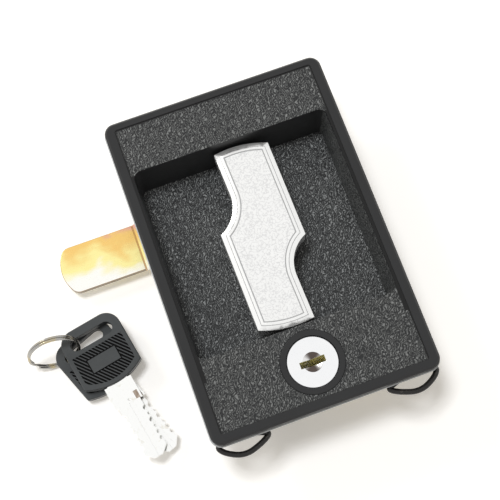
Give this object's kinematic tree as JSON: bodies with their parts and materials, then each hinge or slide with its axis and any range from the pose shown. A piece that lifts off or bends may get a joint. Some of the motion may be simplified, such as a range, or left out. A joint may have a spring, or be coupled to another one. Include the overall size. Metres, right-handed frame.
{
  "type": "cabinet lock",
  "caption": "Recessed panel lock with a quarter-turn handle in a square dish, a key cylinder, a cranked latch tongue, wire panel clips, and its keys on a ring.",
  "frame": {"origin": "middle of the flange, in the plane where the gasket's back face meets the panel", "axes": "+Z out of the lock's face, +Y along the flange away from the key cylinder, +X to the right seen from the front; at rest the tongue points to -X"},
  "size_m": [0.1322, 0.124, 0.0355],
  "materials": {
    "black_casting": "grained black powder coat on die-cast zinc",
    "gasket_rubber": "matt light grey foam rubber",
    "satin_silver": "satin silver plating with a fine grain",
    "yellow_zinc": "yellow iridescent zinc plating",
    "zinc_steel": "bright zinc plating",
    "spring_wire": "blackened spring wire",
    "brass": "plain drawn brass",
    "seal_rubber": "matt black rubber",
    "key_plastic": "dark grey moulded plastic with a fine grain",
    "nickel": "bright nickel plating"
  },
  "bodies": {
    "housing": {"housing": "black_casting", "gasket": "gasket_rubber", "shaft_bush": "brass", "cylinder_barrel": "black_casting", "barrel_clip": "zinc_steel"},
    "handle": {"handle": "satin_silver", "shaft_seal": "seal_rubber", "lock_disc": "zinc_steel", "spacer_washer": "zinc_steel", "tongue": "yellow_zinc", "tongue_washer": "yellow_zinc", "lock_washer": "zinc_steel", "tongue_bolt": "zinc_steel"},
    "plug": {"plug": "satin_silver", "wafers": "brass", "wafer_springs": "zinc_steel", "blocking_cam": "yellow_zinc", "cam_washer": "zinc_steel", "cam_screw": "zinc_steel"},
    "clip_left": {"wire_clip_left": "spring_wire"},
    "clip_right": {"wire_clip_right": "spring_wire"},
    "key_ring": {"key_ring": "nickel"},
    "key_1": {"key_1_blade": "nickel", "key_1_bow": "key_plastic"},
    "key_2": {"key_2_blade": "nickel", "key_2_bow": "key_plastic"}
  },
  "joints": [
    {"name": "handle_turn", "type": "hinge", "parent": "housing", "child": "handle", "pos_m": [0, 0.00435, 0], "axis": [0, 0, 1], "range_deg": [-90, 0]},
    {"name": "plug_turn", "type": "hinge", "parent": "housing", "child": "plug", "pos_m": [0, -0.0435, 0], "axis": [0, 0, 1], "range_deg": [0, 90]},
    {"name": "clip_left_fold", "type": "hinge", "parent": "housing", "child": "clip_left", "pos_m": [-0.031, -0.054, -0.0026], "axis": [1, 0, 0], "range_deg": [0, 90], "stiffness_Nm_per_rad": 0.02},
    {"name": "clip_right_fold", "type": "hinge", "parent": "housing", "child": "clip_right", "pos_m": [0.031, -0.054, -0.0026], "axis": [1, 0, 0], "range_deg": [0, 90], "stiffness_Nm_per_rad": 0.02},
    {"name": "keys_lift", "type": "slide", "parent": "housing", "child": "key_ring", "axis": [0, 0, 1], "range_m": [0, 0.06]},
    {"name": "key_1_swing", "type": "hinge", "parent": "key_ring", "child": "key_1", "pos_m": [-0.0737, -0.0056, -0.022], "axis": [0, 0, 1], "range_deg": [-8, 8]},
    {"name": "key_2_swing", "type": "hinge", "parent": "key_ring", "child": "key_2", "pos_m": [-0.0764, -0.007, -0.026], "axis": [0, 0, 1], "range_deg": [-8, 8]}
  ]
}
